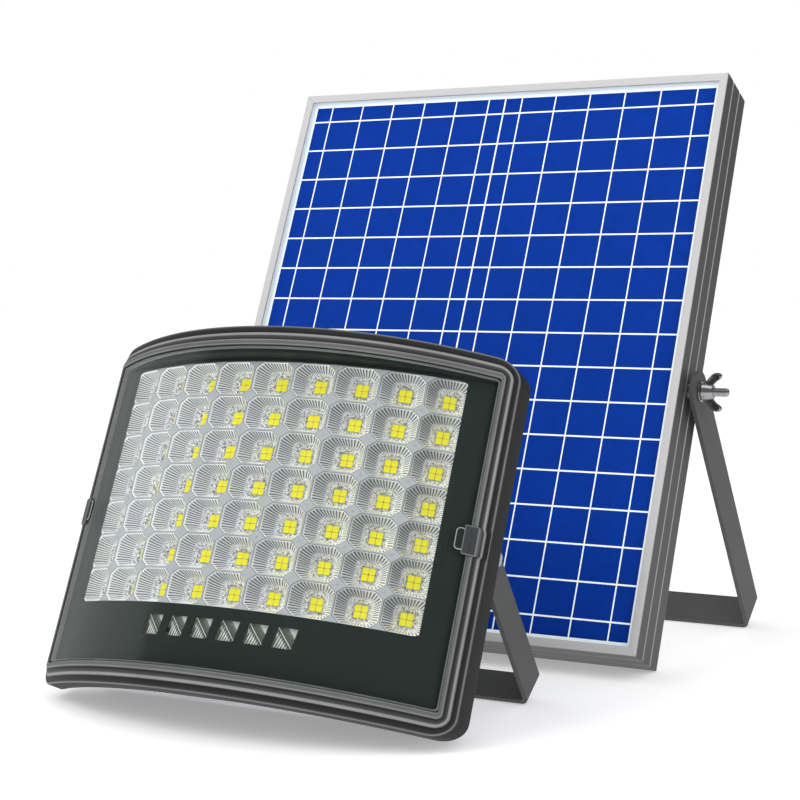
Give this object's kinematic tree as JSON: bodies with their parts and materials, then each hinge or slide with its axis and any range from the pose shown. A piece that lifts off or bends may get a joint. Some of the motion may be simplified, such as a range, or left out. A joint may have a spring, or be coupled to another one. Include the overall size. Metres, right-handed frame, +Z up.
{
  "type": "solar flood light",
  "caption": "Bowed flood light head with a grid of reflector cups, and a framed solar panel, each tilting on its own U bracket.",
  "frame": {"origin": "on the floor, at the middle of the footprint of the two units together", "axes": "+Z up, -Y the way both fronts face, +X to the right seen from the front"},
  "size_m": [0.406, 0.4947, 0.4053],
  "materials": {
    "lamp_casting": "fine satin dark grey powder coat",
    "clear_glass": "clear tempered glass",
    "black_rubber": "matte silicone rubber",
    "dark_mask": "dark green-grey print behind the glass",
    "reflector_chrome": "vacuum-metallised reflector",
    "board_white": "white solder resist",
    "led_phosphor": "yellow phosphor",
    "indicator_lens": "clear greenish lens",
    "plain_aluminium": "mill finish",
    "steel_screws": "zinc plated",
    "cell_sleeve": "blue shrink sleeve",
    "black_plastic": "fine moulded texture",
    "board_green": "green solder resist",
    "clip_metal": "grey satin",
    "bracket_paint": "grey satin paint",
    "frame_aluminium": "pale anodised",
    "solar_cells": "blue cells with white grid lines",
    "backsheet_white": "white film",
    "panel_bracket_paint": "grey satin paint",
    "bright_steel": "bright plated"
  },
  "bodies": {
    "stands": {"lamp_bracket": "bracket_paint", "panel_bracket": "panel_bracket_paint"},
    "lamp_head": {"bezel": "lamp_casting", "front_glass": "clear_glass", "glass_gasket": "black_rubber", "mask_plate": "dark_mask", "reflector_plate": "reflector_chrome", "led_board": "board_white", "led_packages": "led_phosphor", "indicator_leds": "indicator_lens", "carrier_plate": "plain_aluminium", "body_gasket": "black_rubber", "rear_shell": "lamp_casting", "shell_screws": "steel_screws", "battery_cells": "cell_sleeve", "battery_holder": "black_plastic", "control_board": "board_green", "lamp_gland": "black_plastic", "glass_clip_left": "clip_metal", "glass_clip_right": "clip_metal", "lamp_pivot_bolts": "steel_screws", "lamp_pivot_washers": "steel_screws"},
    "solar_panel": {"frame_left": "frame_aluminium", "frame_right": "frame_aluminium", "frame_top": "frame_aluminium", "frame_bottom": "frame_aluminium", "corner_keys": "plain_aluminium", "panel_glass": "clear_glass", "cell_sheet": "solar_cells", "backsheet": "backsheet_white", "junction_box": "black_plastic", "junction_lid": "black_plastic", "junction_gland": "black_plastic", "panel_bolts": "bright_steel", "panel_spacers": "bright_steel", "panel_washers": "bright_steel"},
    "left_wing_nut": {"wing_nut_left": "bright_steel"},
    "right_wing_nut": {"wing_nut_right": "bright_steel"}
  },
  "joints": [
    {"name": "lamp_tilt", "type": "hinge", "parent": "stands", "child": "lamp_head", "pos_m": [0.008, -0.1299, 0.09734], "axis": [1, 0, 0], "range_deg": [-35, 55]},
    {"name": "panel_tilt", "type": "hinge", "parent": "stands", "child": "solar_panel", "pos_m": [0, 0.10891, 0.18211], "axis": [1, 0, 0], "range_deg": [-35, 60]},
    {"name": "left_wing_nut_turn", "type": "hinge", "parent": "solar_panel", "child": "left_wing_nut", "pos_m": [-0.1888, 0.10891, 0.18211], "axis": [-1, 0, 0], "continuous": true},
    {"name": "right_wing_nut_turn", "type": "hinge", "parent": "solar_panel", "child": "right_wing_nut", "pos_m": [0.1888, 0.10891, 0.18211], "axis": [1, 0, 0], "continuous": true}
  ]
}
